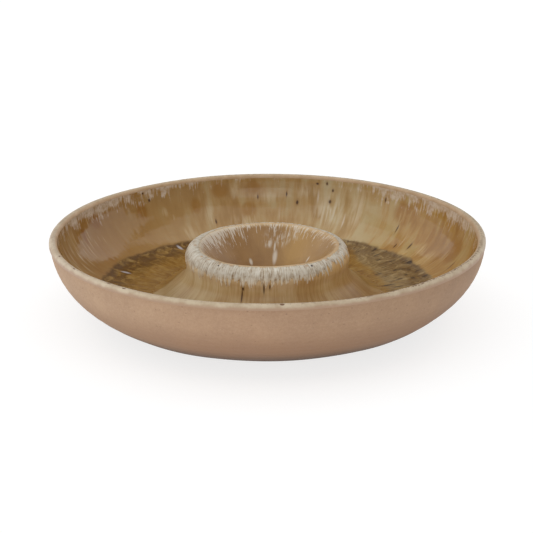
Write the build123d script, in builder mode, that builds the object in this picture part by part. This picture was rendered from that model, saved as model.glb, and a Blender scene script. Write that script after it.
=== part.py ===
"""Chip and dip server: a wide, shallow stoneware dish with a raised dip well at its centre.

Every piece is a body of revolution about +Z and stands on z = 0. Outlines are drawn in the XZ plane,
as radius (local x) against height (local y). The clay is three pieces: the dish, the ring that rises
from its floor at SEAM_R, and the bowl inside the ring, which meets it under the top of the crest. The
glazes are thin coats that lie on the clay, face to face.

Sizes are given on the glazed surface. An outline's depth is how far below that surface it lies.
"""

import os
from math import cos, radians, sin, tan

from build123d import *

# --- Driving dimensions, mm and degrees. A lean is measured from vertical, a slope from horizontal. ---
RIM_R = 150.0
RIM_H = 60.0
LIP_ROUND = 2.7
COAT = 0.5  # glaze thickness

# Dish, outside: two arcs from the lip in to the foot
OUTER_LEAN = 4.0
BELLY_ROUND = 52.0
BELLY_LEAN = 45.0
BASE_ROUND = 84.0
BASE_LEAN = 76.0
FOOT_OUT_R = 91.0
FOOT_IN_R = 83.0
FOOT_EDGE = 0.7  # rounding of the foot's edges

# Dish, inside: one arc down to the glaze pool, then a floor that falls gently to the seam
INNER_LEAN = 5.0
INNER_ROUND = 44.0
POOL_LEAN = 70.0
POOL_ROUND = 25.0
SEAM_R = 80.0
SEAM_H = 14.7

# Underside of the floor
RECESS_H = 7.5

# Well, outside: root, straight flank, neck, overhanging shoulder, crest
FLOOR_SLOPE = 7.0
ROOT_ROUND = 12.0
FLANK_SLOPE = 40.0
NECK_R = 56.1
NECK_ROUND = 12.0
NECK_SLOPE = 105.0
SHOULDER_ROUND = 10.5
CREST_SLOPE = 45.0
CREST_ROUND = 6.0

# Well, inside
BOWL_SLOPE = 50.0
BOWL_BOTTOM_H = 13.0

# Well, underside: a hollow between the ring and the bowl keeps the clay one thickness all the way
BOWL_BASE_H = 5.5
BOWL_BASE_R = 15.0
HOLLOW_H = 34.0
HOLLOW_IN_R = 41.0
KNEE_R = 52.5
KNEE_H = 21.5
HOLLOW_FOOT_R = 69.5
HOLLOW_ROUND = 3.0

# Glaze edges
LIP_RUN = 0.8  # how far the lip's glaze runs down the outside
COLLAR = 0.6  # thickness of the white glaze round the crest
COLLAR_FOOT_H = 30.0  # where it stops on the flank

LIP_CENTRE = Vector(RIM_R - LIP_ROUND, RIM_H - LIP_ROUND)


def inward(slope):
    """Unit direction towards the axis, climbing at this slope."""
    return Vector(-cos(radians(slope)), sin(radians(slope)))


def lip_point(angle, depth):
    """Point on the lip's round section, by its angle above the outward horizontal."""
    return LIP_CENTRE + Vector(cos(radians(angle)), sin(radians(angle))) * (LIP_ROUND - depth)


def lip(depth):
    """The lip, from its outer side over the top to its inner side."""
    return CenterArc(LIP_CENTRE, LIP_ROUND - depth, -OUTER_LEAN, 180 + OUTER_LEAN - INNER_LEAN)


def belly(depth, turn):
    """The wall's outside, from the lip down, turning through this many degrees."""
    start = lip_point(-OUTER_LEAN, depth)
    return JernArc(start, inward(OUTER_LEAN - 90), BELLY_ROUND - depth, -turn)


def dish_inside(depth):
    """The dish's inside from lip to seam: the wall, the glaze pool's edge and the floor."""
    start = lip_point(180 - INNER_LEAN, depth)
    wall = JernArc(start, inward(INNER_LEAN - 90), INNER_ROUND + depth, INNER_LEAN - POOL_LEAN)
    pool = JernArc(wall @ 1, wall % 1, POOL_ROUND + depth, POOL_LEAN + FLOOR_SLOPE - 90)
    return wall, Line(pool @ 1, (SEAM_R, SEAM_H - depth))


def well_outside(depth):
    """The well's outside from the seam up to the top of the crest."""
    turn = FLOOR_SLOPE + FLANK_SLOPE
    root = JernArc((SEAM_R, SEAM_H - depth), inward(-FLOOR_SLOPE), ROOT_ROUND + depth, -turn)
    neck_reach = (NECK_ROUND + depth) * (1 - sin(radians(FLANK_SLOPE)))
    flank_reach = (root @ 1).X - (NECK_R - depth) - neck_reach
    flank = Line(root @ 1, root @ 1 + (root % 1) * (flank_reach / cos(radians(FLANK_SLOPE))))
    neck = JernArc(flank @ 1, flank % 1, NECK_ROUND + depth, FLANK_SLOPE - NECK_SLOPE)
    shoulder = JernArc(neck @ 1, neck % 1, SHOULDER_ROUND - depth, NECK_SLOPE - CREST_SLOPE)
    return root, JernArc(shoulder @ 1, shoulder % 1, CREST_ROUND - depth, CREST_SLOPE)


def bowl_inside(depth, crest_top):
    """The well's inside from the top of the crest to the axis: lip, straight side, round bottom."""
    edge = JernArc(crest_top, inward(0), CREST_ROUND - depth, BOWL_SLOPE)
    side_end = edge @ 1
    bottom_h = BOWL_BOTTOM_H - depth
    # The round bottom is the arc that ends level on the axis and meets the side tangentially.
    apex_h = side_end.Y - side_end.X * tan(radians(BOWL_SLOPE))
    bottom_round = (bottom_h - apex_h) / (1 / cos(radians(BOWL_SLOPE)) - 1)
    meet = Vector(0, bottom_h + bottom_round) + Vector(
        sin(radians(BOWL_SLOPE)), -cos(radians(BOWL_SLOPE))
    ) * bottom_round
    Line(side_end, meet)
    return JernArc(meet, inward(-BOWL_SLOPE), bottom_round, -BOWL_SLOPE)


os.makedirs("parts", exist_ok=True)

# --- Dish: the clay wall, floor and foot ring ---
with BuildPart() as dish:
    with BuildSketch(Plane.XZ):
        with BuildLine():
            lip(COAT)
            side = belly(COAT, BELLY_LEAN - OUTER_LEAN)
            base = JernArc(side @ 1, side % 1, BASE_ROUND, BELLY_LEAN - BASE_LEAN)
            foot_reach = (base @ 1).X - FOOT_OUT_R
            foot_top = base @ 1 + (base % 1) * (foot_reach / sin(radians(BASE_LEAN)))
            wall, floor = dish_inside(COAT)
            Polyline(
                base @ 1,
                foot_top,
                (FOOT_OUT_R, 0),
                (FOOT_IN_R, 0),
                (FOOT_IN_R, RECESS_H),
                (SEAM_R, RECESS_H),
                floor @ 1,
            )
        make_face()
    revolve(axis=Axis.Z)
    foot_circles = dish.edges().filter_by(GeomType.CIRCLE).filter_by(lambda e: abs(e.center().Z) < 0.01)
    fillet(foot_circles, FOOT_EDGE)
dish.part.label = "dish"
export_step(dish.part, "parts/dish.step")

# --- Well ring: the raised wall round the well, from the dish's floor up to the crest ---
with BuildPart() as well_ring:
    with BuildSketch(Plane.XZ):
        with BuildLine():
            root, crest = well_outside(COAT)
            crest_top = crest @ 1
            Polyline(root @ 0, (SEAM_R, RECESS_H), (HOLLOW_FOOT_R, RECESS_H))
            FilletPolyline(
                (HOLLOW_FOOT_R, RECESS_H),
                (KNEE_R, KNEE_H),
                (crest_top.X, HOLLOW_H),
                radius=HOLLOW_ROUND,
            )
            Line((crest_top.X, HOLLOW_H), crest_top)
        make_face()
    revolve(axis=Axis.Z)
well_ring.part.label = "well_ring"
export_step(well_ring.part, "parts/well_ring.step")

# --- Well bowl: the round bowl that holds the dip, hung from the crest ---
with BuildPart() as well_bowl:
    with BuildSketch(Plane.XZ):
        with BuildLine():
            bottom = bowl_inside(COAT, crest_top)
            Line(crest_top, (crest_top.X, HOLLOW_H))
            FilletPolyline(
                (crest_top.X, HOLLOW_H),
                (HOLLOW_IN_R, HOLLOW_H),
                (BOWL_BASE_R, BOWL_BASE_H),
                (0, BOWL_BASE_H),
                radius=HOLLOW_ROUND,
            )
            Line((0, BOWL_BASE_H), bottom @ 1)
        make_face()
    revolve(axis=Axis.Z)
well_bowl.part.label = "well_bowl"
export_step(well_bowl.part, "parts/well_bowl.step")

# --- Amber glaze on the dish's wall and floor ---
with BuildPart() as dish_glaze:
    with BuildSketch(Plane.XZ):
        with BuildLine():
            face_top, face_floor = dish_inside(0)
            clay_top, clay_floor = dish_inside(COAT)
            Line(face_top @ 0, clay_top @ 0)
            Line(face_floor @ 1, clay_floor @ 1)
        make_face()
    revolve(axis=Axis.Z)
dish_glaze.part.label = "dish_glaze"
export_step(dish_glaze.part, "parts/dish_glaze.step")

# --- Amber glaze on the well, from the seam over the crest to the bottom of the bowl ---
with BuildPart() as well_glaze:
    with BuildSketch(Plane.XZ):
        with BuildLine():
            face_root, face_crest = well_outside(0)
            clay_root, clay_crest = well_outside(COAT)
            face_bottom = bowl_inside(0, face_crest @ 1)
            clay_bottom = bowl_inside(COAT, clay_crest @ 1)
            Line(face_root @ 0, clay_root @ 0)
            Line(face_bottom @ 1, clay_bottom @ 1)
        make_face()
    revolve(axis=Axis.Z)
well_glaze.part.label = "well_glaze"
export_step(well_glaze.part, "parts/well_glaze.step")

# --- Cream glaze over the lip and a little way down outside ---
with BuildPart() as rim_glaze:
    with BuildSketch(Plane.XZ):
        with BuildLine():
            run_turn = LIP_RUN / radians(1) / BELLY_ROUND
            face_lip = lip(0)
            clay_lip = lip(COAT)
            face_run = belly(0, run_turn)
            clay_run = belly(COAT, run_turn)
            Line(face_lip @ 1, clay_lip @ 1)
            Line(face_run @ 1, clay_run @ 1)
        make_face()
    revolve(axis=Axis.Z)
rim_glaze.part.label = "rim_glaze"
export_step(rim_glaze.part, "parts/rim_glaze.step")

# --- White glaze collar, run down from the crest over the shoulder and neck ---
with BuildPart() as collar_glaze:
    with BuildSketch(Plane.XZ):
        with BuildLine():
            outer_root, outer_crest = well_outside(-COLLAR)
            inner_root, inner_crest = well_outside(0)
            Line(outer_root @ 0, inner_root @ 0)
            Line(outer_crest @ 1, inner_crest @ 1)
        make_face()
        with Locations((0, COLLAR_FOOT_H)):
            Rectangle(RIM_R, RIM_H, align=(Align.MIN, Align.MIN), mode=Mode.INTERSECT)
    revolve(axis=Axis.Z)
collar_glaze.part.label = "collar_glaze"
export_step(collar_glaze.part, "parts/collar_glaze.step")
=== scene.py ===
"""Looks of the chip and dip server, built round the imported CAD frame.

Everything is in metres in the part's own frame: +Z up, the foot standing on z = 0. Each piece is a lathe
mesh turned from the same section as its CAD node, with the unevenness that clay and run glaze have.
Azimuth is in degrees about +Z from +X, so the front is at -90. Run is the distance along the glazed
face from the lip's inner side down the wall, over the floor and the well's crest to the axis.
"""

from functools import cached_property
from math import cos, pi, radians, sin, tan

import bpy
import numpy as np
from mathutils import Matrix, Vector


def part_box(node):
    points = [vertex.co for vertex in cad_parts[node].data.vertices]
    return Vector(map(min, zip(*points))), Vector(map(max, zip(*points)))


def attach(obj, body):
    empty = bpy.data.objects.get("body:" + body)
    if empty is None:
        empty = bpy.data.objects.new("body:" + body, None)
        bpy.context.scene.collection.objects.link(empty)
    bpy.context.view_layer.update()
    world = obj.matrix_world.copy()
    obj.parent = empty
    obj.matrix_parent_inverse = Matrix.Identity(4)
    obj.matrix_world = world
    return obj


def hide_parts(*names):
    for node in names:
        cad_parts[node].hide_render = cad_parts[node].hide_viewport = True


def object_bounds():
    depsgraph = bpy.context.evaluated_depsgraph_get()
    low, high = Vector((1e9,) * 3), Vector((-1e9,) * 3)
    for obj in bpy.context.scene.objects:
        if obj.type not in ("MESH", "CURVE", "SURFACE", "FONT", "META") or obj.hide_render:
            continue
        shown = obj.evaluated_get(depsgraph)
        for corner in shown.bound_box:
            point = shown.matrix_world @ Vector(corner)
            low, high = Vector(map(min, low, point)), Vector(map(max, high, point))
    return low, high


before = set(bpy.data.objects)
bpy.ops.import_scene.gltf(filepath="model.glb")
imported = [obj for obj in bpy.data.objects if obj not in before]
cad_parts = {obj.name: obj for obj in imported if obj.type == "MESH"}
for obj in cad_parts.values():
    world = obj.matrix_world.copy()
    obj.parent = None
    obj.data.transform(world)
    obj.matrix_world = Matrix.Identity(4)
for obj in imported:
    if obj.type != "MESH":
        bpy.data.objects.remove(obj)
cad_low, cad_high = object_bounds()

MM = 0.001
RIM_R = cad_high.x
RIM_H = cad_high.z
SEAM_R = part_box("well_ring")[1].x

# The section, as the CAD has it. A slope climbs inwards, a lean is measured from vertical.
COAT = 0.5 * MM
LIP_ROUND = 2.7 * MM
LIP_RUN = 0.8 * MM
OUTER_LEAN = 4.0
INNER_LEAN = 5.0
BELLY_ROUND = 52.0 * MM
BELLY_LEAN = 45.0
BASE_ROUND = 84.0 * MM
BASE_LEAN = 76.0
FOOT_OUT_R = 91.0 * MM
FOOT_IN_R = 83.0 * MM
FOOT_EDGE = 0.7 * MM
RECESS_H = 7.5 * MM
INNER_ROUND = 44.0 * MM
POOL_LEAN = 70.0
POOL_ROUND = 25.0 * MM
FLOOR_SLOPE = 7.0
ROOT_ROUND = 12.0 * MM
FLANK_SLOPE = 40.0
NECK_R = 56.1 * MM
NECK_ROUND = 12.0 * MM
NECK_SLOPE = 105.0
SHOULDER_ROUND = 10.5 * MM
CREST_SLOPE = 45.0
CREST_ROUND = 6.0 * MM
BOWL_SLOPE = 50.0
BOWL_BOTTOM_H = 13.0 * MM
HOLLOW_H = 34.0 * MM
HOLLOW_IN_R = 41.0 * MM
HOLLOW_FOOT_R = 69.5 * MM
KNEE_R = 52.5 * MM
KNEE_H = 21.5 * MM
BOWL_BASE_R = 15.0 * MM
BOWL_BASE_H = 5.5 * MM

# The mesh
RIM_TILT = 0.0045  # the rim rises by this much per unit of x; the foot stays level
STEP = 1.1 * MM  # mesh fineness along the section
FINE_STEP = 0.3 * MM  # the same where white glaze ends in tongues
TURNS = 1080  # mesh fineness round the axis
FINE_TURNS = 2000
ON_AXIS = 0.01 * MM  # a row nearer than this to the axis is a single point
CREASE = radians(50)  # a sharper edge than this isn't smoothed over
THROWN_RUN = 86 * MM  # throwing lines show on the glazed face up to here


# ---------------------------------------------------------------- sections

class Trace:
    """A section outline drawn onwards from a point, as straight runs and arcs.

    Each row is radius, height, and the unit normal's two parts. The normal points to the right of the
    way the outline is drawn, which is out of the clay where the glazed face is drawn inwards.
    """

    def __init__(self, r, z, slope, step=STEP):
        self.rows = []
        self.slope = slope
        self.step = step
        self.marks = {}
        self.add(r, z, slope)

    def add(self, r, z, slope):
        self.rows.append((r, z, sin(radians(slope)), cos(radians(slope))))

    def line(self, length):
        r, z = self.rows[-1][:2]
        count = max(1, round(length / self.step))
        for i in range(1, count + 1):
            far = length * i / count
            self.add(r - far * cos(radians(self.slope)), z + far * sin(radians(self.slope)), self.slope)
        return self

    def arc(self, radius, turn):
        """Turns the slope by this many degrees: positive bends up, as in a hollow."""
        r, z = self.rows[-1][:2]
        side = radius if turn > 0 else -radius
        start = radians(self.slope)
        count = max(3, round(radius * abs(radians(turn)) / self.step))
        for i in range(1, count + 1):
            now = start + radians(turn) * i / count
            self.add(r - side * (sin(now) - sin(start)), z + side * (cos(start) - cos(now)), np.degrees(now))
        self.slope += turn
        return self

    def mark(self, name):
        self.marks[name] = len(self.rows) - 1
        return self

    def array(self):
        return np.array(self.rows)


def polyline(points, step=STEP):
    """A straight-sided outline, with each side's own normal and its corners kept sharp."""
    rows = []
    for (r0, z0), (r1, z1) in zip(points, points[1:]):
        length = np.hypot(r1 - r0, z1 - z0)
        count = max(1, round(length / step))
        for t in np.linspace(0, 1, count + 1):
            rows.append((r0 + (r1 - r0) * t, z0 + (z1 - z0) * t, (z1 - z0) / length, -(r1 - r0) / length))
    return np.array(rows)


def glazed_face(step):
    """The whole glazed face from the lip's outer side to the axis: rows, runs and the marks' rows."""
    lip_r, lip_z = RIM_R - LIP_ROUND, RIM_H - LIP_ROUND
    face = Trace(
        lip_r + LIP_ROUND * cos(radians(OUTER_LEAN)),
        lip_z - LIP_ROUND * sin(radians(OUTER_LEAN)),
        90 + OUTER_LEAN,
        min(step, LIP_ROUND / 6),
    )
    face.arc(LIP_ROUND, INNER_LEAN - OUTER_LEAN - 180).mark("lip")
    face.step = step
    face.arc(INNER_ROUND, POOL_LEAN - INNER_LEAN)
    face.arc(POOL_ROUND, 90 - POOL_LEAN - FLOOR_SLOPE)
    face.line((face.rows[-1][0] - SEAM_R) / cos(radians(FLOOR_SLOPE))).mark("seam")
    face.arc(ROOT_ROUND, FLOOR_SLOPE + FLANK_SLOPE)
    neck_reach = NECK_ROUND * (1 - sin(radians(FLANK_SLOPE)))
    face.line((face.rows[-1][0] - NECK_R - neck_reach) / cos(radians(FLANK_SLOPE)))
    face.arc(NECK_ROUND, NECK_SLOPE - FLANK_SLOPE).arc(SHOULDER_ROUND, CREST_SLOPE - NECK_SLOPE)
    face.arc(CREST_ROUND, -CREST_SLOPE).mark("crest").arc(CREST_ROUND, -BOWL_SLOPE)
    r, z = face.rows[-1][:2]
    slope = radians(BOWL_SLOPE)
    bottom_round = (BOWL_BOTTOM_H - z + r * tan(slope)) / (1 / cos(slope) - 1)
    face.line((r - bottom_round * sin(slope)) / cos(slope)).arc(bottom_round, BOWL_SLOPE)
    rows = face.array()
    run = np.concatenate([[0], np.cumsum(np.hypot(np.diff(rows[:, 0]), np.diff(rows[:, 1])))])
    return rows, run - run[face.marks["lip"]], face.marks


def bare_side(depth, until=None):
    """The outside from the lip down to the foot, drawn downwards, so its normals are turned round."""
    start = LIP_ROUND - depth
    side = Trace(
        RIM_R - LIP_ROUND + start * cos(radians(OUTER_LEAN)),
        RIM_H - LIP_ROUND - start * sin(radians(OUTER_LEAN)),
        OUTER_LEAN - 90,
    )
    if until:
        side.step = until / 5
        side.arc(BELLY_ROUND - depth, np.degrees(until / BELLY_ROUND))
    else:
        side.arc(BELLY_ROUND - depth, BELLY_LEAN - OUTER_LEAN).arc(BASE_ROUND, BASE_LEAN - BELLY_LEAN)
        side.line((side.rows[-1][0] - FOOT_OUT_R) / sin(radians(BASE_LEAN)))
    rows = side.array()
    rows[:, 2:] *= -1
    return rows


def sunk(rows, depth):
    """The outline this far beneath a face."""
    out = rows.copy()
    out[:, :2] -= rows[:, 2:] * depth
    return out


# ---------------------------------------------------------------- unevenness

def ripple(azimuth, run, waves, seed, shear=0.0):
    """Smooth unevenness round the axis, about -1 to 1: a sum of whole waves, so that it closes on itself."""
    rng = np.random.default_rng(seed)
    low, high = waves
    counts = np.unique(np.geomspace(low, high, 24).round().astype(int))
    total = 0
    for count in counts:
        phase = rng.uniform(0, 2 * pi) + run * rng.normal() * shear
        total = total + rng.uniform(0.5, 1.0) * np.cos(count * azimuth + phase)
    return total / np.sqrt(len(counts)) / 0.75


def face_relief(azimuth, run):
    """How far the glazed face stands proud of the CAD's: lumps, glaze ribs, and faint throwing lines."""
    lumps = 0.16 * MM * ripple(azimuth, run, (2, 9), 11, shear=40)
    ribs = 0.022 * MM * ripple(azimuth, run, (50, 220), 12, shear=60)
    lines = 0.02 * MM * np.sin(run / (5.3 * MM) * 2 * pi + 2 * ripple(azimuth, run, (1, 4), 13))
    return lumps + ribs + lines * (run < THROWN_RUN)


def side_relief(azimuth, height):
    """The same for the bare outside: faint turning lines and lumps, nothing at the foot."""
    lumps = 0.2 * MM * ripple(azimuth, height, (2, 11), 21, shear=30)
    lines = 0.05 * MM * np.sin(height / (4.1 * MM) * 2 * pi + ripple(azimuth, height, (1, 5), 22))
    return (lumps + lines) * np.clip(height / (8 * MM), 0, 1)


def by_azimuth(azimuth, stops):
    """A value that goes smoothly round the axis through (degrees, value) stops."""
    angles = np.array([a for a, _ in stops])
    values = np.array([v for _, v in stops])
    return np.interp(np.degrees(azimuth), angles, values, period=360)


# ---------------------------------------------------------------- lathe

def lathe(name, rows, turns, relief=None, run=None, close=True, extra=None):
    """Turns an outline about +Z. Rows on the axis become a single point.

    relief(azimuth, run) moves each point along its normal. The attribute run keeps the run, and the
    attribute thick keeps what extra(azimuth, run) gives.
    """
    azimuth = np.arange(turns) * 2 * pi / turns
    run = np.zeros(len(rows)) if run is None else run
    push = np.zeros((len(rows), turns)) if relief is None else relief(azimuth[None, :], run[:, None])
    r = rows[:, 0:1] + rows[:, 2:3] * push
    z = rows[:, 1:2] + rows[:, 3:4] * push
    x, y = r * np.cos(azimuth), r * np.sin(azimuth)
    z = z + RIM_TILT * x * np.clip(z / RIM_H, 0, None)
    points = np.stack([x, y, np.broadcast_to(z, x.shape)], axis=-1)

    on_axis = rows[:, 0] < ON_AXIS
    index = np.zeros((len(rows), turns), int)
    kept, runs, count = [], [], 0
    for i in range(len(rows)):
        if on_axis[i]:
            index[i] = count
            kept.append(points[i].mean(0)[None])
            runs.append([run[i]])
            count += 1
        else:
            index[i] = count + np.arange(turns)
            kept.append(points[i])
            runs.append(np.full(turns, run[i]))
            count += turns
    pairs = [(i, i + 1) for i in range(len(rows) - 1)]
    if close:
        pairs.append((len(rows) - 1, 0))
    faces = []
    for i, j in pairs:
        if on_axis[i] and on_axis[j]:
            continue
        here, there = index[i], index[j]
        quad = np.stack([here, np.roll(here, -1), np.roll(there, -1), there], axis=-1)
        if on_axis[i]:
            faces += quad[:, [0, 2, 3]].tolist()
        elif on_axis[j]:
            faces += quad[:, [0, 1, 2]].tolist()
        else:
            faces += quad.tolist()
    mesh = bpy.data.meshes.new(name)
    mesh.from_pydata(np.concatenate(kept), [], faces)
    mesh.attributes.new("run", "FLOAT", "POINT").data.foreach_set("value", np.concatenate(runs))
    if extra is not None:
        values = extra(azimuth[None, :], run[:, None])
        flat = [values[i][:1] if on_axis[i] else values[i] for i in range(len(rows))]
        mesh.attributes.new("thick", "FLOAT", "POINT").data.foreach_set("value", np.concatenate(flat))
    mesh.shade_smooth()
    mesh.set_sharp_from_angle(angle=CREASE)
    piece = bpy.data.objects.new(name, mesh)
    bpy.context.scene.collection.objects.link(piece)
    return piece


# ---------------------------------------------------------------- shaders

class Shader:
    """A material's nodes, with short ways to add and join them. Sockets and numbers both serve as inputs."""

    def __init__(self, name):
        self.material = bpy.data.materials.new(name)
        self.material.use_nodes = True
        self.tree = self.material.node_tree
        self.tree.nodes.clear()
        self.output = self.node("ShaderNodeOutputMaterial")
        self.place = self.node("ShaderNodeTexCoord").outputs["Object"]

    def node(self, kind, inputs=(), **settings):
        made = self.tree.nodes.new(kind)
        for key, value in settings.items():
            setattr(made, key, value)
        for key, value in dict(inputs).items():
            if isinstance(value, bpy.types.NodeSocket):
                self.tree.links.new(value, made.inputs[key])
            else:
                made.inputs[key].default_value = value
        return made

    def math(self, operation, *values):
        return self.node("ShaderNodeMath", enumerate(values), operation=operation).outputs[0]

    def weighted(self, *parts):
        """The sum of values, each times its own weight."""
        (first, weight), *rest = parts
        total = self.math("MULTIPLY", first, weight)
        for value, weight in rest:
            total = self.math("MULTIPLY_ADD", value, weight, total)
        return total

    def wander(self, value, noise, reach):
        """A value that a noise moves up and down, over about this reach in all."""
        return self.math("ADD", value, self.math("MULTIPLY", self.math("SUBTRACT", noise, 0.5), reach))

    def vector(self, operation, *values, out=0):
        return self.node("ShaderNodeVectorMath", enumerate(values), operation=operation).outputs[out]

    def combine(self, x, y, z):
        return self.node("ShaderNodeCombineXYZ", {0: x, 1: y, 2: z}).outputs[0]

    def attribute(self, name):
        return self.node("ShaderNodeAttribute", attribute_name=name).outputs["Fac"]

    def between(self, value, low, high, out_low=0.0, out_high=1.0, soft=True):
        """Maps low..high to out_low..out_high, held at the ends."""
        kind = "SMOOTHSTEP" if soft else "LINEAR"
        return self.node(
            "ShaderNodeMapRange",
            {0: value, 1: low, 2: high, 3: out_low, 4: out_high},
            interpolation_type=kind,
        ).outputs[0]

    def mix(self, factor, a, b, blend="MIX"):
        inputs = {0: factor, 6: a, 7: b}  # where colours stand in a mix node's list of sockets
        return self.node("ShaderNodeMix", inputs, data_type="RGBA", blend_type=blend).outputs[2]

    def tint(self, colour, painted_light_by_run):
        return self.mix(1.0, colour, painted_light_by_run, "MULTIPLY")

    def ramp(self, value, stops):
        """Colours, or plain values, by (position, colour or value) stops."""
        made = self.node("ShaderNodeValToRGB", {0: value})
        elements = made.color_ramp.elements
        while len(elements) < len(stops):
            elements.new(1)
        for element, (at, value) in zip(elements, stops):
            element.position = at
            element.color = (value[:3] if isinstance(value, tuple) else (value,) * 3) + (1,)
        return made.outputs[0]

    def noise(self, where, scale, detail=2.0, rough=0.5, distort=0.0, seed=0.0):
        if seed:
            where = self.vector("ADD", where, (seed, -seed, seed))
        return self.node(
            "ShaderNodeTexNoise",
            {"Vector": where, "Scale": scale, "Detail": detail, "Roughness": rough, "Distortion": distort},
        ).outputs["Fac"]

    @cached_property
    def turn(self):
        """How far round the axis a point is: 0 at -180 degrees, 0.5 at 0 and 1 at 180."""
        x, y, _ = self.node("ShaderNodeSeparateXYZ", {0: self.place}).outputs
        return self.math("MULTIPLY_ADD", self.math("ARCTAN2", y, x), 0.5 / pi, 0.5)

    def by_azimuth(self, stops):
        """A value that goes round the axis through (degrees, value) stops, from -180 to 180."""
        return self.ramp(self.turn, [(degrees / 360 + 0.5, value) for degrees, value in stops])

    def bump(self, height, distance, strength):
        inputs = {"Height": height, "Distance": distance, "Strength": strength}
        return self.node("ShaderNodeBump", inputs).outputs[0]

    def principled(self, **inputs):
        """Ends the material with this shader and gives it back."""
        names = {key.replace("_", " ").title().replace("Ior", "IOR"): value for key, value in inputs.items()}
        shader = self.node("ShaderNodeBsdfPrincipled", names)
        self.tree.links.new(shader.outputs[0], self.output.inputs[0])
        return self.material


class GlazeShader(Shader):
    """A shader for the glazed face, where each point has a run."""

    def __init__(self, name):
        super().__init__(name)
        self.run = self.attribute("run")
        x, y, _ = self.node("ShaderNodeSeparateXYZ", {0: self.place}).outputs
        away = self.vector("NORMALIZE", self.combine(x, y, 0.0))
        self.away_x, self.away_y, _ = self.node("ShaderNodeSeparateXYZ", {0: away}).outputs

    def streaks(self, *, radius, width, length, seed, detail=2.0, rough=0.5, distort=0.0):
        """Noise drawn out along the run. Its width is true where the radius is this."""
        scale = radius / width
        along = self.math("MULTIPLY_ADD", self.run, 1 / length / scale, seed)
        where = self.combine(self.away_x, self.away_y, along)
        return self.noise(where, scale, detail, rough, distort)

    def marks(self, marks, edge=(1.15, 0.65), *, radius):
        """Spots drawn out down the run: azimuth, then run, half width and half length in mm.

        Widths are true at the radius. The edge says where a spot starts and where it is full, as a share of
        its half width.
        """
        place = self.combine(self.away_x, self.away_y, self.run)
        total = 0.0
        for azimuth, at, wide, long in marks:
            middle = Vector((cos(radians(azimuth)), sin(radians(azimuth)), at * MM))
            scale = Vector((radius / (wide * MM), radius / (wide * MM), 1 / (long * MM)))
            reach = self.vector("LENGTH", self.vector("MULTIPLY_ADD", place, scale, -middle * scale), out=1)
            total = self.math("MAXIMUM", total, self.between(reach, *edge))
        return total


def srgb(red, green, blue):
    """A colour given as it looks, 0 to 255, in the linear values that shaders take."""
    parts = [c / 255 for c in (red, green, blue)]
    return tuple(c / 12.92 if c <= 0.04045 else ((c + 0.055) / 1.055) ** 2.4 for c in parts) + (1.0,)


# Where along the run a part of the glazed face, or a change in it, starts and where it is full
HAZE = (40 * MM, 30 * MM)
HAZE_SLOPE = 17  # how fast the haze thins out, per metre of run
POOL = (46.4 * MM, 49.6 * MM)
OUTER_POOL = (74 * MM, 60 * MM)
DULLER = (80 * MM, 90 * MM)
FLANK_PAINTED_LIGHT = (94 * MM, 126 * MM)
COLLAR_TIPS_PAINTED_LIGHT = (131 * MM, 125 * MM)
COLLAR_CREST_PAINTED_SHADE = (140 * MM, 133 * MM)
COLLAR_PITS = (133 * MM, 137 * MM)
CREST_OUTSIDE = (136 * MM, 138.5 * MM)
CREST_INSIDE = (142 * MM, 140 * MM)
BOWL = (139 * MM, 144 * MM)
WISPS = (139.5 * MM, 141 * MM)
WISP_ROOT = 140 * MM
WISP_SLOPE = 14

# The same on the lip, where runs are below zero, and the line along which it is pitted
LIP_TAN = (-3.6 * MM, -1.6 * MM)
LIP_THIN = (-6.2 * MM, -8.6 * MM)
PIT_LINE = -3.9 * MM
PIT_BAND = 1.4 * MM

# The same up the bare outside, as heights: where the painted shade low on the belly and by the foot starts
# and where it is full
BELLY_SHADE = (46 * MM, 20 * MM)
FOOT_SHADE = (23 * MM, 7 * MM)

# Marks, one by one: azimuth, then run, half width and half length in mm. They were picked out in the
# photo. For part of them a scratch script's ray through the fitted camera gave azimuth and run, and
# those values were typed in, some rounded. The others were moved or added by judgement.
IRON_SPECKS = [
    (74.5, 3.2, 1.2, 1.0), (71.5, 2.6, 0.8, 1.5), (69.5, 7.5, 0.9, 1.4), (70.0, 16.2, 1.2, 1.8),
    (80.5, 18.5, 1.1, 2.2), (84.0, 12.2, 0.6, 2.4), (93.0, 14.5, 0.6, 2.2), (51.5, 8.5, 0.6, 2.2),
    (107.5, 33.0, 0.8, 2.6), (128.5, 8.2, 1.0, 1.6), (130.5, 2.0, 0.9, 1.0), (43.8, 27.5, 0.6, 4.0),
    (40.0, 41.5, 0.7, 2.8), (34.3, 37.5, 0.9, 4.0), (7.1, 32.5, 0.6, 5.5), (-107.3, 116.0, 1.5, 6.0),
    (-106.8, 121.4, 2.2, 2.0), (-92.3, 122.0, 1.4, 4.6), (-88.3, 123.5, 1.2, 2.2),
]
POOL_DASHES = [
    (26.5, 50.0, 2.4, 4.4), (42.1, 57.5, 1.3, 4.6), (46.0, 51.5, 1.3, 3.2), (38.0, 62.5, 1.0, 3.0),
    (20.9, 56.8, 1.9, 1.7), (17.0, 62.5, 2.0, 1.9), (13.9, 69.0, 1.6, 3.0), (11.5, 51.5, 2.4, 2.6),
    (9.0, 80.0, 1.3, 6.0), (24.0, 65.0, 1.4, 2.4), (33.0, 57.0, 1.2, 4.0), (12.5, 60.0, 2.4, 2.2),
    (5.0, 74.0, 1.2, 3.0), (25.0, 78.0, 1.0, 4.0), (30.0, 68.0, 1.0, 3.0), (18.0, 53.0, 1.4, 2.0),
]
CREST_SPECKS = [(-56.0, 135.2, 0.9, 0.9), (-0.6, 138.5, 1.3, 0.9), (-128.0, 135.0, 0.6, 0.7)]
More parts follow.
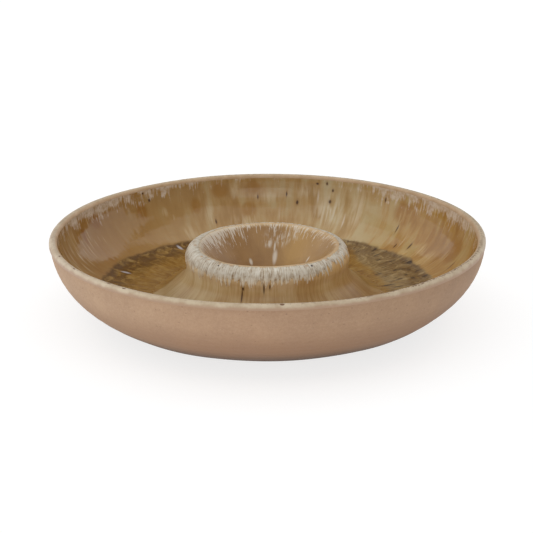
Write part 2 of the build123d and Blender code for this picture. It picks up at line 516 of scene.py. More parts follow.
CREST_BARE = [
    (-141.0, 137.3, 2.6, 0.9), (-150.0, 137.0, 2.0, 1.0), (-118.0, 137.0, 2.0, 0.9),
    (-178.0, 138.5, 2.2, 1.4), (-128.0, 136.6, 1.4, 0.8), (-60.0, 136.0, 1.6, 1.0),
    (-40.0, 136.4, 1.8, 0.9), (-20.0, 137.0, 2.0, 0.9),
]
AMBER_PATCHES = [
    (104.8, 8.0, 6.5, 6.5), (94.5, 7.0, 6.0, 5.0), (96.0, 24.0, 6.5, 6.5), (152.0, 9.5, 8.0, 8.0),
    (160.0, 16.0, 3.0, 9.0), (12.0, 24.0, 10.0, 12.0), (43.0, 15.0, 12.0, 9.0), (29.0, 24.0, 5.0, 9.0),
    (132.0, 15.0, 5.0, 8.0), (113.0, 18.0, 4.0, 7.0),
]
PALE_BLOTCHES = [
    (124.0, 19.5, 2.6, 3.6), (122.0, 24.5, 2.2, 2.6), (118.0, 40.0, 6.0, 8.0), (70.0, 24.0, 12.0, 14.0),
    (98.0, 36.0, 12.0, 7.0), (60.0, 20.0, 7.0, 14.0), (34.0, 46.0, 6.0, 6.0), (22.0, 42.0, 6.0, 9.0),
    (100.3, 9.0, 3.0, 7.0), (90.0, 15.0, 9.0, 4.5), (109.0, 27.0, 4.0, 12.0), (78.0, 10.0, 8.0, 5.0),
    (28.0, 38.0, 5.0, 8.0), (168.0, 14.0, 5.0, 9.0),
]
PALE_RUNS = [
    (24.7, 15.0, 0.7, 9.5), (163.0, 21.0, 0.9, 11.0), (159.3, 22.0, 0.8, 8.0), (161.3, 28.0, 0.7, 8.0),
    (166.5, 14.0, 0.9, 9.0), (156.5, 27.0, 0.7, 5.0), (170.5, 10.0, 0.8, 8.0), (154.0, 23.0, 1.0, 3.5),
    (14.6, 31.0, 0.6, 6.0), (17.5, 43.0, 0.5, 7.0), (24.0, 44.0, 0.6, 8.0), (29.5, 43.0, 0.6, 7.0),
    (38.5, 37.0, 0.7, 8.0), (34.5, 45.0, 0.5, 6.0), (11.0, 9.0, 0.7, 7.0), (19.0, 8.0, 0.6, 5.0),
    (164.8, 26.0, 0.6, 7.0), (158.0, 17.0, 0.7, 6.0), (168.5, 20.0, 0.6, 8.0), (152.0, 26.0, 0.7, 4.0),
    (172.0, 16.0, 1.9, 10.0), (175.0, 22.0, 1.8, 9.0), (178.0, 14.0, 2.2, 9.0), (-178.5, 20.0, 2.0, 9.0),
    (169.5, 27.0, 1.4, 8.0), (167.0, 34.0, 1.3, 7.0), (172.0, 35.0, 1.5, 7.0), (176.5, 31.0, 1.8, 8.0),
    (156.0, 8.0, 0.8, 5.0), (150.5, 5.0, 1.2, 4.0), (37.5, 7.0, 0.9, 6.0), (31.0, 7.0, 0.7, 5.0),
    (6.5, 10.0, 0.7, 6.0), (74.0, 13.0, 1.0, 6.0), (86.0, 27.0, 1.1, 8.0), (64.0, 30.0, 1.0, 8.0),
]
POOL_GLINTS = [(161.0, 58.5, 1.6, 4.5), (126.0, 54.5, 1.6, 4.5)]
BOWL_RUNS = [
    (80.0, 166.5, 2.2, 6.5), (114.0, 169.5, 1.7, 3.0), (30.0, 163.0, 0.9, 3.0), (81.5, 159.0, 0.8, 5.0),
]
BOWL_CLOUDS = [
    (83.0, 150.0, 7.0, 6.0), (74.0, 152.0, 6.0, 7.0), (88.0, 156.0, 5.0, 4.0), (60.0, 147.0, 6.0, 5.0),
]
RIM_PITS = [
    (-86.5, -5.1, 1.6, 0.9), (-159.0, -4.2, 1.6, 0.6), (-148.0, -4.5, 1.8, 0.55), (-132.8, -4.3, 2.4, 0.5),
    (-127.4, -4.8, 1.8, 0.55), (-48.7, -4.6, 1.6, 0.6),
]


# ---------------------------------------------------------------- materials

def clay():
    """Unglazed stoneware: pinkish tan, dry, with fine grain, faint blotches and pinholes."""
    s = Shader("bare_clay")
    blotch = s.noise(s.place, 45, detail=3)
    grain = s.noise(s.place, 1100, detail=2)
    colour = s.ramp(blotch, [(0.3, srgb(169, 137, 109)), (0.7, srgb(181, 149, 120))])
    colour = s.mix(s.between(grain, 0.35, 0.75, 0.0, 0.3), colour, srgb(190, 161, 136))
    grit = s.noise(s.place, 430, detail=3, rough=0.7, distort=0.4)
    colour = s.mix(s.between(grit, 0.36, 0.50, 0.15, 0.0), colour, srgb(146, 114, 90))
    colour = s.mix(s.between(grit, 0.52, 0.68, 0.0, 0.15), colour, srgb(200, 172, 146))
    speck = s.node("ShaderNodeTexVoronoi", {"Vector": s.place, "Scale": 420}, feature="F1")
    chance = s.node("ShaderNodeSeparateColor", {0: speck.outputs["Color"]}).outputs[0]
    chosen = s.math("GREATER_THAN", chance, 0.86)
    dot = s.math("MULTIPLY", s.between(speck.outputs["Distance"], 0.30, 0.12), chosen)
    colour = s.mix(s.math("MULTIPLY", dot, 0.3), colour, srgb(104, 74, 54))
    z = s.node("ShaderNodeSeparateXYZ", {0: s.place}).outputs[2]
    # Painted shade: darker down the lower belly, and darkest by the foot where the contact shadow falls
    colour = s.mix(s.between(z, *BELLY_SHADE, 0.0, 0.8), colour, srgb(139, 105, 78))
    colour = s.mix(s.between(z, *FOOT_SHADE, 0.0, 0.85), colour, srgb(68, 51, 40))
    # Painted light and shade round the axis: lighter towards the left, darkest towards the front right
    colour = s.tint(colour, s.by_azimuth([
        (-180, (1.15, 1.19, 1.24)), (-155, (1.13, 1.16, 1.19)), (-130, (1.10, 1.11, 1.12)),
        (-95, (1.03, 1.0, 0.98)), (-60, (0.91, 0.89, 0.86)), (-30, (0.85, 0.83, 0.82)),
        (0, (1.0, 0.99, 0.99)), (60, (0.97, 0.97, 0.97)), (130, (1.0, 1.0, 1.0)), (180, (1.15, 1.19, 1.24)),
    ]))
    pores = s.noise(s.place, 900, detail=3, rough=0.7)
    height = s.math("SUBTRACT", s.math("ADD", s.math("MULTIPLY", pores, 0.5), grit), dot)
    return s.principled(
        base_color=colour,
        roughness=s.between(blotch, 0.3, 0.7, 0.78, 0.9),
        normal=s.bump(height, 0.12 * MM, 0.6),
    )


def amber_wall(s):
    """The wall: tan, with amber and olive-beige parts that melt into each other."""
    hair = s.streaks(radius=0.13, width=1.0 * MM, length=13 * MM, seed=5.3, detail=3, rough=0.6, distort=0.3)
    tone = s.weighted((s.broad, 0.5), (s.fine, 0.2), (s.cloud, 0.3))
    wall = s.ramp(tone, [
        (0.40, srgb(158, 118, 64)),
        (0.47, srgb(172, 134, 82)),
        (0.53, srgb(180, 147, 98)),
        (0.60, srgb(184, 160, 118)),
    ])
    wall = s.mix(s.between(hair, 0.5, 0.72, 0, 0.05), wall, srgb(212, 192, 156))
    calm = s.by_azimuth([(-180, 0.4), (0, 0.1), (100, 0.15), (122, 0.75), (160, 0.75), (180, 0.4)])
    wall = s.mix(calm, wall, srgb(174, 140, 92))
    patch = s.marks(AMBER_PATCHES, (1.2, 0.6), radius=0.142)
    ragged = s.math("MULTIPLY", patch, s.between(s.fine, 0.30, 0.48))
    wall = s.mix(s.math("MULTIPLY", ragged, 0.75), wall, srgb(158, 112, 46))
    pale = s.marks(PALE_BLOTCHES, (1.4, 0.2), radius=0.135)
    ragged = s.math("MULTIPLY", pale, s.between(s.fine, 0.36, 0.60))
    wall = s.mix(s.math("MULTIPLY", ragged, 0.55), wall, srgb(208, 186, 152))
    pale_run = s.marks(PALE_RUNS, (1.3, 0.0), radius=0.138)
    pale_side = s.by_azimuth([(-180, 0.6), (0, 0.5), (60, 0.5), (148, 0.4), (158, 0.65), (180, 0.6)])
    ragged = s.math("MULTIPLY", pale_run, s.between(s.fine, 0.34, 0.58, 0.3, 1.0))
    wall = s.mix(s.math("MULTIPLY", ragged, pale_side), wall, srgb(222, 206, 184))
    return s.tint(wall, s.by_azimuth([
        (-180, (0.76, 0.65, 0.47)), (-90, (0.9, 0.88, 0.84)), (0, (0.87, 0.75, 0.46)),
        (35, (0.96, 0.87, 0.61)), (50, (1.01, 0.98, 0.80)), (66, (1.16, 1.32, 1.54)),
        (84, (1.02, 1.02, 0.98)), (105, (1.05, 1.06, 1.02)), (132, (0.91, 0.83, 0.65)),
        (155, (0.75, 0.60, 0.36)), (180, (0.76, 0.65, 0.47)),
    ]))


def amber_pool(s, edge):
    """The floor, where glaze has pooled: clear amber at the left, greyer with iron flecks at the right."""
    short = s.streaks(radius=0.1, width=2.2 * MM, length=12 * MM, seed=2.2, detail=3, rough=0.6, distort=0.9)
    pool_tone = s.weighted((s.mottle, 0.5), (short, 0.5))
    clear = s.ramp(pool_tone, [
        (0.38, srgb(124, 86, 32)),
        (0.50, srgb(144, 106, 46)),
        (0.62, srgb(159, 125, 66)),
    ])
    flecked = s.ramp(pool_tone, [
        (0.37, srgb(104, 79, 50)),
        (0.45, srgb(133, 107, 68)),
        (0.53, srgb(147, 122, 80)),
        (0.63, srgb(166, 141, 98)),
    ])
    fleck = s.streaks(radius=0.1, width=1.5 * MM, length=10 * MM, seed=7.4, detail=2, distort=0.3)
    flecked = s.mix(s.between(fleck, 0.61, 0.67, 0, 0.8), flecked, srgb(56, 42, 28))
    grey_side = s.by_azimuth([
        (-180, 0.1), (-120, 0.2), (-60, 0.7), (0, 1.0), (50, 1.0), (90, 0.6), (125, 0.3), (180, 0.1),
    ])
    crescent_edge = s.by_azimuth([
        (-180, 82 * MM), (16, 82 * MM), (33, 77 * MM), (45, 73 * MM), (57, 56 * MM), (180, 56 * MM),
    ])
    crescent = s.between(s.math("SUBTRACT", edge, crescent_edge), 2 * MM, -4 * MM)
    pool = s.mix(s.math("MULTIPLY", grey_side, crescent), clear, flecked)
    dark = s.math("MULTIPLY", s.between(s.mottle, 0.66, 0.44), s.between(edge, *OUTER_POOL))
    dark_side = s.by_azimuth([(-180, 0.8), (-60, 0.5), (0, 0.45), (60, 0.5), (110, 0.8), (180, 0.8)])
    pool = s.mix(s.math("MULTIPLY", dark, dark_side), pool, srgb(86, 57, 26))
    dash = s.marks(POOL_DASHES, (1.2, 0.4), radius=0.11)
    pool = s.mix(s.math("MULTIPLY", dash, 0.8), pool, srgb(54, 38, 26))
    glint = s.marks(POOL_GLINTS, (1.2, 0.3), radius=0.115)
    return s.mix(s.math("MULTIPLY", glint, 0.7), pool, srgb(206, 206, 212))


def amber_flank(s, colour):
    """The flank: tan with faint lines, from a clean edge where the pool stops, with painted shade low down
    and painted light up under the collar.
    """
    flank_tone = s.weighted((s.fine, 0.3), (s.broad, 0.25), (s.cloud, 0.45))
    flank = s.ramp(flank_tone, [
        (0.42, srgb(172, 136, 88)),
        (0.50, srgb(184, 152, 105)),
        (0.58, srgb(195, 168, 126)),
    ])
    # Painted light and shade by run: darker low on the flank, much lighter up under the collar's overhang
    flank = s.tint(flank, s.ramp(s.between(s.run, *FLANK_PAINTED_LIGHT, soft=False), [
        (0.0, (0.74, 0.68, 0.60)), (0.3, (0.78, 0.73, 0.64)), (0.55, (0.89, 0.84, 0.73)),
        (0.7, (1.09, 1.08, 1.06)), (0.8, (1.32, 1.40, 1.52)), (0.9, (1.50, 1.62, 1.90)),
    ]))
    flank = s.tint(flank, s.by_azimuth([
        (-180, (1.06, 1.14, 1.22)), (-157, (1.08, 1.18, 1.28)), (-130, (1.0, 1.03, 1.03)),
        (-95, (1.03, 1.05, 1.08)), (-68, (0.95, 0.92, 0.85)), (-52, (0.99, 0.98, 0.91)),
        (-35, (0.87, 0.78, 0.61)), (-20, (0.87, 0.78, 0.61)),
        (20, (0.9, 0.86, 0.8)), (180, (1.06, 1.14, 1.22)),
    ]))
    shore = s.by_azimuth([
        (-180, 88 * MM), (-150, 86 * MM), (-30, 85 * MM), (0, 84 * MM), (6, 88 * MM), (11, 101 * MM),
        (60, 104 * MM), (120, 104 * MM), (168, 102 * MM), (175, 91 * MM), (180, 88 * MM),
    ])
    past_shore = s.wander(s.math("SUBTRACT", s.run, shore), s.cloud, 5 * MM)
    return s.mix(s.between(past_shore, -0.7 * MM, 0.7 * MM), colour, flank)


def amber_bowl(s, colour):
    """The bowl, plain tan brown, and the bare line along the crest."""
    bowl = s.ramp(s.cloud, [(0.38, srgb(146, 108, 64)), (0.62, srgb(165, 127, 80))])
    bowl = s.tint(bowl, s.by_azimuth([
        (-180, (1.0, 1.0, 1.05)), (25, (1.31, 1.40, 1.35)), (60, (1.23, 1.29, 1.11)),
        (85, (0.94, 0.92, 0.78)), (110, (0.95, 0.92, 0.79)), (140, (1.0, 1.0, 1.0)), (180, (1.0, 1.0, 1.05)),
    ]))
    colour = s.mix(s.between(s.run, *BOWL), colour, bowl)
    crest_line = s.math("MULTIPLY", s.between(s.run, *CREST_OUTSIDE), s.between(s.run, *CREST_INSIDE))
    return s.mix(s.math("MULTIPLY", crest_line, 0.6), colour, srgb(202, 172, 134))


def bowl_wisps(s, colour):
    """White wisps, runs and clouds that have come into the bowl from the crest."""
    reach = s.by_azimuth([
        (-180, 0.24), (-150, 0.12), (-90, 0.05), (-30, 0.07), (0, 0.10), (35, 0.16),
        (62, 0.17), (85, 0.15), (95, 0.08), (112, 0.20), (140, 0.28), (180, 0.24),
    ])
    line = s.streaks(radius=0.045, width=1.1 * MM, length=8 * MM, seed=6.6, detail=3, rough=0.65, distort=0.3)
    wisp = s.math("SUBTRACT", reach, s.math("MULTIPLY", s.math("SUBTRACT", s.run, WISP_ROOT), WISP_SLOPE))
    wisp = s.math("ADD", wisp, s.math("SUBTRACT", line, 0.62))
    wisp = s.math("MULTIPLY", s.between(wisp, 0.0, 0.07), s.between(s.run, *WISPS))
    wisp = s.math("MULTIPLY", wisp, 0.7)
    bowl_run = s.math("MULTIPLY", s.marks(BOWL_RUNS, (1.2, 0.3), radius=0.035), 0.8)
    ragged = s.between(s.math("ADD", line, s.math("MULTIPLY", s.mottle, 0.5)), 0.66, 0.92, 0, 0.75)
    bowl_cloud = s.math("MULTIPLY", s.marks(BOWL_CLOUDS, (1.3, 0.3), radius=0.040), ragged)
    bowl_run = s.math("MAXIMUM", bowl_run, bowl_cloud)
    return s.mix(s.math("MAXIMUM", wisp, bowl_run), colour, srgb(222, 212, 196))


def lip_haze(s, colour):
    """White haze and runs just under the lip."""
    reach = s.by_azimuth([
        (-180, 0.12), (-90, 0.06), (-20, 0.10), (5, 0.18), (30, 0.22), (52, 0.16),
        (70, 0.02), (100, 0.03), (118, 0.12), (132, 0.17), (155, 0.20), (180, 0.12),
    ])
    line = s.streaks(radius=0.14, width=1.4 * MM, length=12 * MM, seed=9.9, detail=3, rough=0.6, distort=0.3)
    tone = s.weighted((line, 0.5), (s.noise(s.place, 110, detail=3, rough=0.6), 0.5))
    haze = s.math("SUBTRACT", reach, s.math("MULTIPLY", s.run, HAZE_SLOPE))
    haze = s.math("ADD", haze, s.math("SUBTRACT", tone, 0.53))
    haze = s.math("MULTIPLY", s.between(haze, 0.0, 0.14), s.between(s.run, *HAZE))
    speckle = s.between(s.noise(s.place, 330, detail=3, rough=0.6, seed=3.3), 0.34, 0.64, 0.42, 0.85)
    return s.mix(s.math("MULTIPLY", haze, speckle), colour, srgb(222, 206, 188))


def iron_specks(s, colour):
    """Dark specks with short brown tails."""
    speck = s.marks(IRON_SPECKS, (2.0, 0.2), radius=0.13)
    colour = s.mix(s.math("MULTIPLY", speck, 0.5), colour, srgb(126, 80, 36))
    return s.mix(s.between(speck, 0.6, 1.0, 0, 0.8), colour, srgb(48, 28, 18))


def amber_glaze():
    """Reactive glaze: amber and olive streaks down the wall, dark where it pools, white wisps by the lips."""
    s = GlazeShader("amber_glaze")
    s.broad = s.streaks(radius=0.13, width=11 * MM, length=34 * MM, seed=3.1, detail=2, distort=1.0)
    s.fine = s.streaks(radius=0.13, width=3.2 * MM, length=22 * MM, seed=8.7, detail=3, distort=0.7)
    s.cloud = s.noise(s.place, 34, detail=3, rough=0.55, distort=0.5)
    s.mottle = s.noise(s.place, 130, detail=4, rough=0.65, distort=0.8)
    edge = s.wander(s.wander(s.run, s.mottle, 7 * MM), s.cloud, 9 * MM)
    colour = s.mix(s.between(edge, *POOL), amber_wall(s), amber_pool(s, edge))
    for add in (amber_flank, amber_bowl, bowl_wisps, lip_haze, iron_specks):
        colour = add(s, colour)
    roughness = s.between(s.mottle, 0.3, 0.7, 0.08, 0.16)
    return s.principled(
        base_color=colour,
        roughness=s.math("ADD", roughness, s.between(s.run, *DULLER, 0, 0.22)),
        ior=1.45,
        normal=s.bump(s.weighted((s.fine, 0.6), (s.mottle, 0.4)), 0.1 * MM, 0.35),
    )


def cream_glaze():
    """The lip's thin glaze: tan on the inner side, cream over the top, with brown pits between."""
    s = GlazeShader("cream_glaze")
    cloud = s.noise(s.place, 140, detail=3, rough=0.6)
    where = s.wander(s.run, cloud, 2.4 * MM)
    cream = s.ramp(cloud, [(0.35, srgb(190, 168, 138)), (0.65, srgb(208, 190, 162))])
    tan_part = s.ramp(cloud, [(0.35, srgb(188, 154, 116)), (0.65, srgb(202, 172, 138))])
    colour = s.mix(s.between(where, *LIP_TAN), cream, tan_part)
    colour = s.mix(s.between(where, *LIP_THIN), colour, srgb(178, 146, 119))
    pits = s.noise(s.place, 640, detail=3, rough=0.7)
    off_line = s.math("DIVIDE", s.math("SUBTRACT", s.run, PIT_LINE), PIT_BAND)
    near = s.math("SUBTRACT", 1.0, s.math("ABSOLUTE", off_line))
    pit = s.between(s.math("ADD", pits, s.math("MULTIPLY", near, 0.14)), 0.60, 0.65)
    pitted = s.by_azimuth([
        (-180, 0.2), (-110, 0.2), (-75, 0.4), (-55, 0.9), (-20, 0.85), (5, 0.4), (70, 0.3), (180, 0.2),
    ])
    pit = s.math("MAXIMUM", s.math("MULTIPLY", pit, pitted), s.marks(RIM_PITS, radius=0.147))
    # A tint round the axis: lighter and bluer towards the left, darker towards the right
    depth = s.by_azimuth([
        (-180, (1.08, 1.11, 1.20)), (-145, (1.06, 1.08, 1.14)), (-110, (1.02, 1.03, 1.03)),
        (-60, (0.97, 0.97, 0.98)), (-10, (0.93, 0.93, 0.94)), (60, (0.95, 0.95, 0.93)),
        (120, (1.0, 1.0, 0.98)), (180, (1.08, 1.11, 1.20)),
    ])
    colour = s.tint(colour, depth)
    colour = s.mix(pit, colour, srgb(116, 82, 54))
    return s.principled(
        base_color=colour,
        roughness=0.5,
        normal=s.bump(s.math("SUBTRACT", cloud, pit), 0.12 * MM, 0.6),
    )


def white_glaze():
    """The crest's thick white glaze: run down in tongues, tan where it is thin, with brown hairlines."""
    s = GlazeShader("white_glaze")
    thick = s.attribute("thick")
    line = s.streaks(radius=0.057, width=0.8 * MM, length=8 * MM, seed=4.4, detail=3, rough=0.65, distort=0.6)
    cloud = s.noise(s.place, 300, detail=3, rough=0.65)
    tone = s.weighted((line, 0.7), (cloud, 0.3))
    white = s.ramp(tone, [
        (0.36, srgb(156, 128, 96)),
        (0.43, srgb(193, 176, 151)),
        (0.50, srgb(219, 209, 190)),
        (0.62, srgb(234, 228, 214)),
    ])
    thin = s.ramp(tone, [(0.40, srgb(168, 132, 90)), (0.58, srgb(206, 184, 150))])
    colour = s.mix(s.between(thick, 0.03 * MM, 0.10 * MM), thin, white)
    # Painted light and shade by run: a little darker over the crest's top, lighter down to the tips in the
    # overhang's shade
    painted_light_by_run = s.math("ADD", s.between(s.run, *COLLAR_CREST_PAINTED_SHADE, 0.92, 1.0), s.between(s.run, *COLLAR_TIPS_PAINTED_LIGHT, 0, 0.4))
    side = s.by_azimuth([
        (-180, 0.96), (-135, 0.88), (-112, 0.88), (-92, 0.98), (-60, 0.93), (0, 0.9), (60, 0.96), (180, 0.96),
    ])
    colour = s.tint(colour, s.math("MULTIPLY", painted_light_by_run, side))
    pit = s.between(s.noise(s.place, 520, detail=2, rough=0.6), 0.62, 0.70)
    pit = s.math("MULTIPLY", pit, s.between(s.run, *COLLAR_PITS))
    colour = s.mix(s.math("MULTIPLY", pit, 0.4), colour, srgb(158, 118, 80))
    bare = s.marks(CREST_BARE, (1.2, 0.3), radius=0.054)
    bare = s.math("MULTIPLY", bare, s.between(cloud, 0.35, 0.5, 0.3, 0.8))
    colour = s.mix(bare, colour, srgb(182, 142, 98))
    speck = s.marks(CREST_SPECKS, radius=0.054)
    colour = s.mix(speck, colour, srgb(60, 42, 34))
    return s.principled(
        base_color=colour,
        roughness=0.36,
        ior=1.5,
        normal=s.bump(s.math("ADD", line, s.math("MULTIPLY", cloud, 0.5)), 0.25 * MM, 0.7),
    )


# ---------------------------------------------------------------- pieces

def finish_piece(piece, node, material):
    piece.data.materials.append(material)
    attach(piece, "root")
    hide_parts(node)


def clay_pieces(material):
    rows, _, marks = glazed_face(STEP)
    seam, crest = marks["seam"], marks["crest"]
    seam_h = rows[seam, 1] - COAT

    # The dish: down the outside, round the foot, along the recess and up the seam, then the glazed face
    side = bare_side(COAT)
    foot_r, foot_h = side[-1, :2]
    foot = polyline([
        (foot_r, foot_h),
        (FOOT_OUT_R, FOOT_EDGE),
        (FOOT_OUT_R - FOOT_EDGE, 0),
        (FOOT_IN_R + FOOT_EDGE, 0),
        (FOOT_IN_R, FOOT_EDGE),
        (FOOT_IN_R, RECESS_H),
        (SEAM_R, RECESS_H),
        (SEAM_R, seam_h),
    ][::-1])
    outline = np.concatenate([foot, side[::-1], sunk(rows[: seam + 1], COAT)])
    height = outline[:, 1]
    outside = np.concatenate([np.zeros(len(foot)), np.ones(len(side)), np.zeros(seam + 1)])

    def dish_relief(azimuth, _):
        return side_relief(azimuth, height[:, None]) * outside[:, None]

    dish = lathe("dish_clay", outline, TURNS, dish_relief)
    finish_piece(dish, "dish", material)

    crest_r, crest_h = rows[crest, 0], rows[crest, 1] - COAT
    under = polyline([
        (crest_r, crest_h),
        (crest_r, HOLLOW_H),
        (KNEE_R, KNEE_H),
        (HOLLOW_FOOT_R, RECESS_H),
        (SEAM_R, RECESS_H),
        (SEAM_R, seam_h),
    ])
    ring = lathe("well_ring_clay", np.concatenate([under, sunk(rows[seam : crest + 1], COAT)]), TURNS)
    finish_piece(ring, "well_ring", material)

    base = polyline([
        (0, BOWL_BASE_H),
        (BOWL_BASE_R, BOWL_BASE_H),
        (HOLLOW_IN_R, HOLLOW_H),
        (crest_r, HOLLOW_H),
        (crest_r, crest_h),
    ])
    bowl = lathe("well_bowl_clay", np.concatenate([base, sunk(rows[crest:], COAT)]), TURNS, close=False)
    finish_piece(bowl, "well_bowl", material)


def coat(name, rows, run):
    """A glaze coat: its uneven face, and its even back on the clay."""
    outline = np.concatenate([rows, sunk(rows, COAT)[::-1]])
    runs = np.concatenate([run, run[::-1]])
    on_face = np.concatenate([np.ones(len(rows)), np.zeros(len(rows))])[:, None]

    def relief(azimuth, at):
        return face_relief(azimuth, at) * on_face

    return lathe(name, outline, TURNS, relief, runs)


def glaze_pieces(amber, cream):
    rows, run, marks = glazed_face(STEP)
    lip, seam = marks["lip"], marks["seam"]
    wall = coat("dish_glaze_coat", rows[lip : seam + 1], run[lip : seam + 1])
    finish_piece(wall, "dish_glaze", amber)
    well = coat("well_glaze_coat", rows[seam:], run[seam:])
    finish_piece(well, "well_glaze", amber)

    drop = bare_side(0, LIP_RUN)[::-1]
    drop_run = run[0] - np.linspace(LIP_RUN, 0, len(drop))
    rim = coat(
        "rim_glaze_coat",
        np.concatenate([drop[:-1], rows[: lip + 1]]),
        np.concatenate([drop_run[:-1], run[: lip + 1]]),
    )
    finish_piece(rim, "rim_glaze", cream)


# Where the white collar's film ends, how far its strokes run past that, and where it starts under the crest:
# azimuth, then run or length in mm
FILM_ENDS = [
    (-180, 129.0), (-150, 128.0), (-125, 127.0), (-95, 127.6), (-60, 128.6), (-47, 130.8), (-38, 133.2),
    (-20, 133.8), (0, 134.8), (40, 134.0), (90, 133.0), (140, 130.5), (180, 129.0),
]
STROKE_REACH = [
    (-180, 5.0), (-150, 5.4), (-125, 6.0), (-90, 5.6), (-60, 5.0), (-40, 5.4), (0, 5.5), (90, 5.0),
    (180, 5.0),
]
COLLAR_TOP = [
    (-180, 141.5), (-150, 140.2), (-120, 138.3), (-60, 138.1), (-20, 138.5), (20, 139.2), (90, 138.5),
    (130, 139.0), (160, 141.0), (180, 141.5),
]
STROKES = 420
LARGE_EVERY = 3  # each third stroke is a large one
LARGE_STROKE = (0.72, (1.0, 1.7))  # its share of the reach, and its half width in mm
SMALL_STROKE = (0.38, (0.4, 0.8))
CLUMPING = 0.26  # how much of the reach strokes gain or lose where they gather
STRAY = 0.9  # how far a stroke's end strays, in mm
STROKE_START = (0.5, 8.0)  # how far above the film's end a stroke starts, in mm
STROKE_HEIGHT = (0.12, 0.30)  # mm
COLLAR_R = 57 * MM  # strokes are drawn as if they all lay at this radius
STROKE_SECTOR = 0.08  # half the angle in which one stroke can lie, in radians
FILM = 0.10 * MM  # the film's thickness
FILM_FADE = 1.0 * MM  # the run over which the film thins out at its lower end
TOP_FADE = 1.2 * MM  # the same at its upper end
COLLAR_SPAN = (114 * MM, 143 * MM)  # the stretch of the run that the collar's mesh covers
COLLAR_BACK = 0.3 * MM  # how far its back lies under the amber's face
BARE_DEPTH = 0.15 * MM  # how far its face dips under the amber's where there is no white


def stroke_height(azimuth, run):
    """Overlapping brush-like runs of white glaze, narrow and pointed, gathered in clumps."""
    rng = np.random.default_rng(31)
    height = np.zeros(np.broadcast_shapes(azimuth.shape, run.shape))
    centres = (np.arange(STROKES) + rng.uniform(-0.5, 0.5, STROKES)) * 2 * pi / STROKES
    clumps = ripple(centres, 0.0, (18, 70), 36)
    for index, (centre, clump) in enumerate(zip(centres, clumps)):
        here = np.array([centre])
        film_end = by_azimuth(here, FILM_ENDS)[0]
        reach = by_azimuth(here, STROKE_REACH)[0]
        start = (film_end + rng.uniform(*STROKE_START)) * MM
        share, half_widths = LARGE_STROKE if index % LARGE_EVERY == 0 else SMALL_STROKE
        past = reach * (share + CLUMPING * clump) + rng.normal() * STRAY
        length = start - (film_end - max(past, -1.0)) * MM
        half = rng.uniform(*half_widths) * MM
        lean = rng.normal() * 0.10 + 0.12 * np.sin(5 * centre)
        tall = rng.uniform(*STROKE_HEIGHT) * MM
        side = (azimuth[0] - centre + pi) % (2 * pi) - pi
        near = np.flatnonzero(np.abs(side) < STROKE_SECTOR)
        side = side[near] * COLLAR_R - lean * (start - run)
        down = (start - run) / length
        width = np.maximum(half * np.clip(1 - down, 0, 1) ** 0.55 * np.clip(down * 6 + 0.4, 0, 1), 0.03 * MM)
        inside = 1 - np.abs(side) / width
        ridge = tall * np.sqrt(np.clip(inside * 1.5, 0, 1)) * ((down > -0.05) & (down < 1))
        height[:, near] = np.maximum(height[:, near], np.where(inside > 0, ridge, 0))
    return height


def collar_thickness(azimuth, run):
    """The white glaze's thickness above the amber. Where there is none, it is under the amber's face."""
    end = (by_azimuth(azimuth, FILM_ENDS) + 0.8 * ripple(azimuth, run, (40, 200), 35)) * MM
    top = (by_azimuth(azimuth, COLLAR_TOP) + 0.4 * ripple(azimuth, run, (20, 160), 33)) * MM
    film = FILM * np.clip((run - end) / FILM_FADE, -1, 1)
    strokes = stroke_height(azimuth, run)
    body = np.where(strokes > 0, np.maximum(film, 0) * 0.6 + strokes, film)
    upper = np.clip((top - run) / TOP_FADE, -1, 1)
    body = np.where(body > 0, body * np.sqrt(np.clip(upper, 0, 1)), body)
    return np.where(upper > 0, body, -BARE_DEPTH)


def collar_piece(material):
    rows, run, _ = glazed_face(FINE_STEP)
    part = (run > COLLAR_SPAN[0]) & (run < COLLAR_SPAN[1])
    face, runs = rows[part], run[part]
    sparser = slice(None, None, -6)  # the back turns round and needs fewer rows
    back = sunk(face, COLLAR_BACK)[sparser]
    outline = np.concatenate([face, back])
    all_runs = np.concatenate([runs, runs[sparser]])
    on_face = np.concatenate([np.ones(len(face)), np.zeros(len(back))])[:, None]

    def relief(azimuth, at):
        return (face_relief(azimuth, at) + collar_thickness(azimuth, at)) * on_face

    collar = lathe("collar_glaze_coat", outline, FINE_TURNS, relief, all_runs, extra=collar_thickness)
    finish_piece(collar, "collar_glaze", material)


clay_pieces(clay())
glaze_pieces(amber_glaze(), cream_glaze())
collar_piece(white_glaze())


# ---------------------------------------------------------------- stage

CAMERA_ELEVATION = radians(17.5)
CAMERA_RADII = 8  # its distance from the rim's centre, in rim radii
CAMERA_AIM = Vector((-0.0006, -0.0073, 0.0368))
CAMERA_LENS, CAMERA_SENSOR = 117.25, 36  # mm
CAMERA_CLIP = (0.05, 50)

FLOOR_REACH = 6.0
FLOOR_H = -0.0001  # just under the foot
FLOOR_GLOW = 0.76

SHADE_TO_LIGHT = (-0.85, -0.53, 0)  # the way in which the world grows brighter
WORLD_SHADE, WORLD_LIGHT = 0.10, 0.68
SOFTBOXES = [
    # name, azimuth, elevation, distance, width, height, radiance
    ("top", 0, 90, 2.2, 3.2, 3.2, 0.75),
    ("front", -87, 27, 1.9, 1.0, 0.75, 1.1),
    ("left", 160, 30, 1.7, 2.4, 0.95, 0.65),
    ("right", 32, 25.5, 1.7, 1.77, 1.2, 0.92),
]


def camera():
    """Looks from the front and a little from above, as the photo does."""
    upward = Vector((0, -cos(CAMERA_ELEVATION), sin(CAMERA_ELEVATION)))
    place = Vector((0, 0, RIM_H)) + upward * RIM_R * CAMERA_RADII
    lens = bpy.data.cameras.new("camera")
    lens.lens, lens.sensor_width = CAMERA_LENS, CAMERA_SENSOR
    lens.clip_start, lens.clip_end = CAMERA_CLIP
    eye = bpy.data.objects.new("camera", lens)
    eye.location = place
    eye.rotation_mode = "QUATERNION"
    eye.rotation_quaternion = (CAMERA_AIM - place).to_track_quat("-Z", "Y")
    bpy.context.scene.collection.objects.link(eye)
    bpy.context.scene.camera = eye


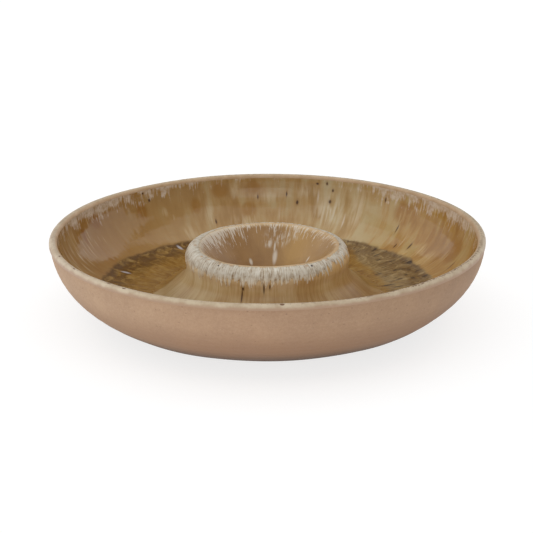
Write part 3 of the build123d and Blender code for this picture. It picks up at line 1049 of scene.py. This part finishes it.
def floor():
    """A white sweep, level and wide."""
    mesh = bpy.data.meshes.new("floor")
    corners = [(x * FLOOR_REACH, y * FLOOR_REACH, FLOOR_H) for x, y in ((-1, -1), (1, -1), (1, 1), (-1, 1))]
    mesh.from_pydata(corners, [], [(0, 1, 2, 3)])
    s = Shader("floor_white")
    mesh.materials.append(s.principled(
        base_color=srgb(155, 155, 155),
        roughness=0.9,
        specular_ior_level=0.0,
        emission_color=(1.0, 1.0, 1.0, 1.0),
        emission_strength=FLOOR_GLOW,
    ))
    sheet = bpy.data.objects.new("floor", mesh)
    bpy.context.scene.collection.objects.link(sheet)


def softbox(name, azimuth, elevation, distance, width, height, radiance):
    """A soft light that faces the dish, placed by its direction from it."""
    light = bpy.data.lights.new(name, "AREA")
    light.shape, light.size, light.size_y = "RECTANGLE", width, height
    light.energy = radiance * pi * width * height
    lamp = bpy.data.objects.new(name, light)
    away = Vector((
        cos(radians(azimuth)) * cos(radians(elevation)),
        sin(radians(azimuth)) * cos(radians(elevation)),
        sin(radians(elevation)),
    ))
    lamp.location = away * distance
    lamp.rotation_mode = "QUATERNION"
    lamp.rotation_quaternion = (-away).to_track_quat("-Z", "Y")
    bpy.context.scene.collection.objects.link(lamp)


def lighting():
    """A white world that grows brighter towards the front left, and the softboxes."""
    world = bpy.data.worlds.new("studio")
    world.use_nodes = True
    tree = world.node_tree
    background = tree.nodes["Background"]
    background.inputs["Color"].default_value = (1, 1, 1, 1)
    facing = tree.nodes.new("ShaderNodeVectorMath")
    facing.operation = "DOT_PRODUCT"
    facing.inputs[1].default_value = SHADE_TO_LIGHT
    tree.links.new(tree.nodes.new("ShaderNodeTexCoord").outputs["Generated"], facing.inputs[0])
    level = tree.nodes.new("ShaderNodeMapRange")
    ends = {"From Min": -1, "From Max": 1, "To Min": WORLD_SHADE, "To Max": WORLD_LIGHT}
    for socket, value in ends.items():
        level.inputs[socket].default_value = value
    tree.links.new(facing.outputs["Value"], level.inputs["Value"])
    tree.links.new(level.outputs["Result"], background.inputs["Strength"])
    bpy.context.scene.world = world
    for box in SOFTBOXES:
        softbox(*box)


camera()
floor()
lighting()
bpy.context.scene.view_settings.view_transform = "Standard"
